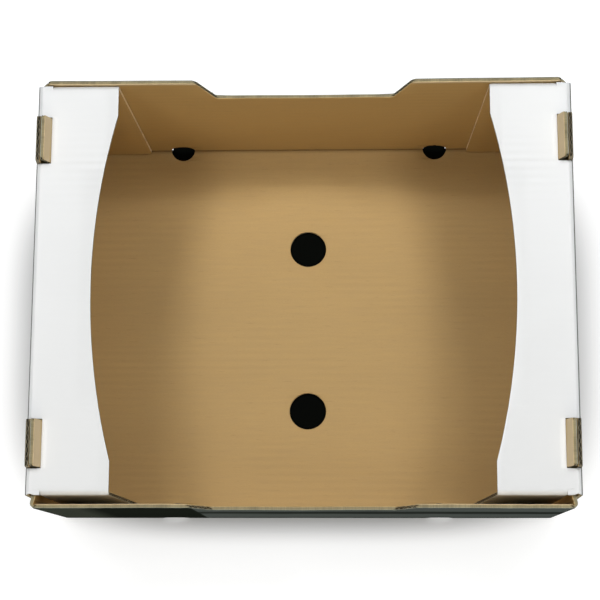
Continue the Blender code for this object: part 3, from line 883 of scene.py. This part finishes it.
def white_paper(name, white, soiled, ink, flap_shade, corner_flap_shade):
    """Coated white liner: nearly even, with faint streaks, soft soiling and a satin gloss.

    The end walls' print runs a little way over the fold onto it. The flaps under the platforms
    are painted a darker, bluer white as shade, and the corner flaps' backs an olive grey as shade.
    """
    shader = Shader(name)
    u, v = shader.blank()
    streaks = shader.grain(26.0, 300.0, detail=4.0, roughness=0.6)
    clouds = shader.grain(9.0, 14.0, detail=3.0, offset=2.0)
    scuffs = shader.grain(70.0, 190.0, detail=6.0, roughness=0.7, offset=9.0)
    scuffs = shader.ramp(scuffs, 0.66, 0.80)
    tone = shader.ramp(clouds, 0.3, 0.7, 0.982, 1.0)
    tone = shader.maths("MULTIPLY", tone, shader.ramp(streaks, 0.3, 0.7, 0.992, 1.0))
    colour = shader.toned(white, tone)
    colour = shader.mix(shader.maths("MULTIPLY", scuffs, 0.07), colour, (*soiled, 1))
    across = shader.maths("ABSOLUTE", u)
    inked = END_WALL_TOP + FOLD_INK * FOLD_ARC
    over_fold = shader.maths(
        "MULTIPLY", shader.ramp(across, END_WALL_TOP - 0.0006, END_WALL_TOP - 0.0004),
        shader.ramp(across, inked - 0.0002, inked + 0.0002, 1.0, 0.0)
    )
    colour = shader.mix(over_fold, colour, (*ink, 1))
    # Painted shade: the flaps under the platforms are a darker, bluer white, as if in shade.
    flap = shader.ramp(shader.maths("ABSOLUTE", v), BASE_DEPTH / 2, BASE_DEPTH / 2 + 0.006)
    colour = shader.mix(flap, colour, (*flap_shade, 1))
    # Painted shade: the corner flaps' backs are an olive grey, as if in the shade between the
    # boards.
    tab = shader.ramp(across, PLATFORM_START, PLATFORM_START - 0.010)
    tab = shader.maths("MULTIPLY", tab, shader.ramp(
        across, END_WALL_TOP - 0.02, END_WALL_TOP - 0.03
    ))
    colour = shader.mix(tab, colour, (*corner_flap_shade, 1))
    rough = shader.maths("ADD", shader.ramp(streaks, 0.3, 0.7, 0.30, 0.38), shader.maths(
        "MULTIPLY", scuffs, 0.2
    ))
    return shader.finish(colour, rough, streaks, depth=0.00003, strength=0.25)


def printed_paper(name, white, ink, slate, faded, worn):
    """White liner under a matt print: near black on the left, banded slate beside it.

    The print is faded at the far left and rubbed through along the creases.
    """
    shader = Shader(name)
    u, v = shader.blank()
    away = shader.maths("ABSOLUTE", v)
    across = shader.maths("ABSOLUTE", u)
    fibres = shader.grain(700.0, 160.0, detail=4.0, roughness=0.6)
    patches = shader.grain(14.0, 34.0, detail=3.0, roughness=0.55, offset=4.0)
    scuffs = shader.grain(260.0, 120.0, detail=6.0, roughness=0.75, offset=9.0)
    wobble = shader.maths("MULTIPLY_ADD", patches, 0.030, away)
    upper = LONG_WALL_START + 0.115
    band = shader.line(wobble, upper, 0.026)
    foot = shader.ramp(wobble, LONG_WALL_START + 0.034, LONG_WALL_START + 0.014)
    dark = shader.maths("MAXIMUM", shader.maths("MULTIPLY", band, 1.5, clamp=True), foot)
    field = shader.mix(shader.maths("MULTIPLY", dark, 0.85), (*slate, 1), (*ink, 1))
    beside = shader.ramp(u, -0.0995, -0.0985)
    far_left = shader.ramp(u, -0.185, -0.205)
    plain_ink = shader.mix(far_left, (*ink, 1), (*faded, 1))
    ink_tone = shader.mix(beside, plain_ink, field)
    ink_tone = shader.mix(shader.ramp(fibres, 0.3, 0.7, 0.0, 0.008), ink_tone, (*white, 1))
    rubbed = shader.maths("MULTIPLY", shader.ramp(scuffs, 0.66, 0.74), 0.25)
    crease = shader.maths(
        "MULTIPLY", shader.ramp(away, LONG_WALL_START, FLOOR_SIDE + 0.0022),
        shader.ramp(across, CORNER_CREASE + 0.002, CORNER_CREASE)
    )
    end_crease = shader.line(across, FLOOR_END + FOLD_ARC / 2, 0.0030)
    crease = shader.maths("MAXIMUM", crease, end_crease)
    rubbed = shader.maths("MAXIMUM", rubbed, shader.maths("MULTIPLY", crease, shader.ramp(
        scuffs, 0.46, 0.60, 0.0, 0.8
    )))
    colour = shader.mix(rubbed, ink_tone, (*worn, 1))
    shader.surface.inputs["Specular IOR Level"].default_value = 0.0
    rough = shader.ramp(fibres, 0.2, 0.8, 0.78, 0.90)
    return shader.finish(colour, rough, fibres, depth=0.00004, strength=0.25)


def plain(name, colour, roughness):
    shader = Shader(name)
    tone = shader.add("ShaderNodeTexNoise", {"Scale": 9.0, "Detail": 3.0})
    shader.surface.inputs["Specular IOR Level"].default_value = 0.0
    return shader.finish(shader.toned(colour, shader.ramp(tone, 0.3, 0.7, 0.99, 1.0)), roughness)


def ground(name, low, high, height, material):
    mesh = bpy.data.meshes.new(name)
    mesh.from_pydata([
        (low[0], low[1], height), (high[0], low[1], height),
        (high[0], high[1], height), (low[0], high[1], height),
    ], [], [(0, 1, 2, 3)])
    mesh.materials.append(material)
    piece = bpy.data.objects.new(name, mesh)
    bpy.context.scene.collection.objects.link(piece)
    return piece


def softbox(name, place, target, width, depth, power, colour):
    light = bpy.data.lights.new(name, "AREA")
    light.shape = "ELLIPSE" if width == depth else "RECTANGLE"
    light.size = width
    light.size_y = depth
    light.energy = power
    light.color = colour
    lamp = bpy.data.objects.new(name, light)
    lamp.location = place
    aim = Vector(target) - Vector(place)
    lamp.rotation_euler = aim.to_track_quat("-Z", "Y").to_euler()
    bpy.context.scene.collection.objects.link(lamp)
    return lamp


# The camera, fitted to the photograph's corners, slots, holes and notches
FRAME_WIDTH = 600.0
SENSOR = 36.0
FOCUS = 1611.4
SHIFT = 0.1
CAMERA_PLACE = (0.04485, -0.34284, 1.61420)
TILT = math.radians(10.888)
PAN = math.radians(-1.852)
ROLL = math.radians(-0.155)
lens = bpy.data.cameras.new("camera")
lens.sensor_width = SENSOR
lens.lens = SENSOR * FOCUS / FRAME_WIDTH
lens.shift_y = SHIFT
lens.clip_end = 20.0
camera = bpy.data.objects.new("camera", lens)
forward = Vector((0, 0, -1))
right = Vector((1, 0, 0))
upward = Vector((0, 1, 0))
forward, upward = (
    forward * math.cos(TILT) + upward * math.sin(TILT),
    upward * math.cos(TILT) - forward * math.sin(TILT),
)
forward, right = (
    forward * math.cos(PAN) + right * math.sin(PAN),
    right * math.cos(PAN) - forward * math.sin(PAN),
)
right, upward = (
    right * math.cos(ROLL) + upward * math.sin(ROLL),
    upward * math.cos(ROLL) - right * math.sin(ROLL),
)
turn = camera.matrix_world.copy()
for row in range(3):
    turn[row][0] = right[row]
    turn[row][1] = upward[row]
    turn[row][2] = -forward[row]
    turn[row][3] = CAMERA_PLACE[row]
camera.matrix_world = turn
bpy.context.scene.collection.objects.link(camera)
bpy.context.scene.camera = camera

# The papers
kraft = kraft_paper(
    "kraft_inside", (0.488, 0.321, 0.121), (0.18, 0.100, 0.030), (0.60, 0.48, 0.30)
)
kraft_edge = board_edge("kraft_edge", (0.50, 0.38, 0.19))
white_edge = board_edge("white_edge", (0.31, 0.31, 0.23))
# The medium's colour is partly its own and partly painted shade, darkened so that cut edges and
# open flutes read as shaded.
fluting = board_edge("fluting", (0.150, 0.118, 0.066))
fluting_edge = board_edge("fluting_edge", (0.27, 0.23, 0.13))
# Painted light: the back end flaps' cut edges are coloured far lighter than the board, as if lit.
painted_lit_flap_edge = board_edge("painted_lit_flap_edge", (0.86, 0.70, 0.44))
# Painted shade: the outer tabs' cut edges are darker than the board, for the shade in their open
# flutes.
shaded_tab_edge = board_edge("shaded_tab_edge", (0.23, 0.20, 0.13))
coated = white_paper(
    "white_outside", (0.755, 0.770, 0.778), (0.60, 0.58, 0.54), (0.060, 0.066, 0.060),
    (0.56, 0.62, 0.70), (0.26, 0.24, 0.17)
)
printed = printed_paper(
    "printed_walls", (0.62, 0.62, 0.60), (0.0062, 0.0086, 0.0060), (0.062, 0.073, 0.069),
    (0.032, 0.038, 0.029), (0.38, 0.34, 0.27)
)

liner_blank = Blank(PITCH / 4, 0.022, 6)
medium_blank = Blank(PITCH / 8, 0.044, 4)
wave = np.sin(2 * np.pi * liner_blank.v / PITCH)
flat = np.ones_like(wave)
pressed = 1 - EDGE_CRUSH * liner_blank.cut
washboard = WASHBOARD * rippled(liner_blank)
inner_top = (flat * BOARD / 2 - washboard * (1 - wave) / 2) * pressed
inner_liner = paper_mesh(
    "inner_liner", liner_blank, inner_top, inner_top - LINER, (0, 1, 2, 1, 2, 3, 4)
)
outer_bottom = (-flat * BOARD / 2 + washboard * (1 + wave) / 2) * pressed
outer_liner = paper_mesh(
    "outer_liner", liner_blank, outer_bottom + LINER, outer_bottom, (1, 0, 2, 3, 2, 4, 5),
    ("wall", "wall_bend", "end_wall", "end_bend", "corner_bend")
)
swing = BOARD / 2 - LINER - MEDIUM / 2 - GLUE_FILM
crushed = (BOARD / 2 * (1 - EDGE_CRUSH) - LINER - GLUE_FILM) * medium_blank.cut
reach = swing * (1 - medium_blank.cut) + (crushed - MEDIUM / 2 - EDGE_BURR) * medium_blank.cut
middle = reach * np.sin(2 * np.pi * medium_blank.v / PITCH) * (1 - medium_blank.along_flutes)
half = MEDIUM / 2 + EDGE_BURR * medium_blank.cut
half = half + (crushed - half) * medium_blank.along_flutes * medium_blank.cut
fluted_medium = paper_mesh(
    "fluted_medium", medium_blank, middle + half, middle - half, (0, 0, 1, 0, 1, 2, 3)
)
for piece, materials in (
    (inner_liner, (kraft, fluting, kraft_edge, painted_lit_flap_edge, shaded_tab_edge)),
    (outer_liner, (coated, fluting, white_edge, printed, painted_lit_flap_edge, shaded_tab_edge)),
    (fluted_medium, (fluting, fluting_edge, painted_lit_flap_edge, shaded_tab_edge)),
):
    for material in materials:
        piece.data.materials.append(material)
    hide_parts("tray")
    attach(piece, "root")


def floor_with_painted_shadow(name, colour, centre, half_size, edge, glow):
    """A glowing floor that brightens away from the tray, outwards from a rounded rectangle: a
    painted soft shadow round the tray.
    """
    shader = Shader(name)
    place = shader.tree.nodes.new("ShaderNodeSeparateXYZ")
    shader.put(place.inputs[0], shader.add("ShaderNodeTexCoord", output=3))
    powers = []
    for axis in (0, 1):
        off = shader.maths("SUBTRACT", place.outputs[axis], centre[axis])
        off = shader.maths("ABSOLUTE", shader.maths("MULTIPLY", off, 1 / half_size[axis]))
        powers.append(shader.maths("POWER", off, 4.0))
    off = shader.maths("POWER", shader.maths("ADD", powers[0], powers[1]), 0.25)
    # Painted shadow: the glow is weakest close to the tray.
    glow = shader.add("ShaderNodeMapRange", {
        "Value": off, "From Min": edge[0], "From Max": edge[1],
        "To Min": glow[0], "To Max": glow[1],
    }, interpolation_type="SMOOTHSTEP")
    shader.surface.inputs["Specular IOR Level"].default_value = 0.0
    shader.surface.inputs["Emission Color"].default_value = (1, 1, 1, 1)
    shader.put(shader.surface.inputs["Emission Strength"], glow)
    return shader.finish((*colour, 1), 0.9)


def studio_world(name, horizon, above, strength):
    """Pale walls at the horizon, and nothing overhead."""
    world = bpy.data.worlds.new(name)
    world.use_nodes = True
    nodes = world.node_tree.nodes
    links = world.node_tree.links
    direction = nodes.new("ShaderNodeSeparateXYZ")
    links.new(nodes.new("ShaderNodeTexCoord").outputs["Generated"], direction.inputs[0])
    glow = nodes.new("ShaderNodeMapRange")
    glow.interpolation_type = "SMOOTHSTEP"
    links.new(direction.outputs[2], glow.inputs["Value"])
    glow.inputs["From Min"].default_value = horizon
    glow.inputs["From Max"].default_value = above
    glow.inputs["To Min"].default_value = strength
    glow.inputs["To Max"].default_value = 0.0
    nodes["Background"].inputs["Color"].default_value = (1, 1, 1, 1)
    links.new(glow.outputs["Result"], nodes["Background"].inputs["Strength"])
    return world


# The studio: a glowing floor with a painted shadow round the tray, a near-black mat of painted
# shade under the tray and its back holes, and softboxes
ground("floor", (-3, -3), (3, 3), -0.0010, floor_with_painted_shadow(
    "floor_with_painted_shadow", (0.44, 0.447, 0.452), centre=(-0.0062, -0.008), half_size=(0.2827, 0.193),
    edge=(0.93, 1.12), glow=(0.165, 0.76)
))
# Painted shade: a near-black mat under the tray and in strips behind its back crease holes, so the
# holes and the gap there read as dark.
dark = plain("painted_shade_mat", (0.003, 0.0035, 0.003), 0.9)
for name, low, high in (
    ("mat", (-0.24, -0.1925), (0.24, 0.1925)),
    ("shade_mat_left_hole", (-0.142, 0.1925), (-0.120, 0.1970)),
    ("shade_mat_right_hole", (0.120, 0.1925), (0.142, 0.1970)),
):
    ground(name, low, high, -0.0005, dark)
bpy.context.scene.world = studio_world("studio", 0.16, 0.36, 0.65)
WHITE = (1, 1, 1)
WARM = (1.0, 0.89, 0.70)
for name, place, width, depth, power, colour in (
    ("left_light", (-1.0, 0.05, 2.0), 0.60, 0.60, 7.0, WHITE),
    ("right_light", (1.0, 0.05, 2.0), 0.60, 0.60, 7.8, WHITE),
    ("left_back_light", (-1.5, 1.47, 4.0), 1.6, 0.15, 44.0, WHITE),
    ("right_back_light", (0.75, 0.81, 2.0), 0.8, 0.08, 11.6, WHITE),
    ("back_light", (0, 1.47, 4.0), 2.4, 0.15, 20.6, WHITE),
    ("front_light", (0, -2.6, 1.2), 1.6, 1.2, 20.6, WARM),
    ("left_front_light", (-1.3, -1.2, 2.0), 0.8, 0.8, 4.9, WHITE),
    ("right_front_light", (1.3, -1.2, 2.0), 0.8, 0.8, 3.9, WHITE),
):
    softbox(name, place, (0, 0, 0), width, depth, power, colour)
bpy.context.scene.view_settings.view_transform = "Standard"
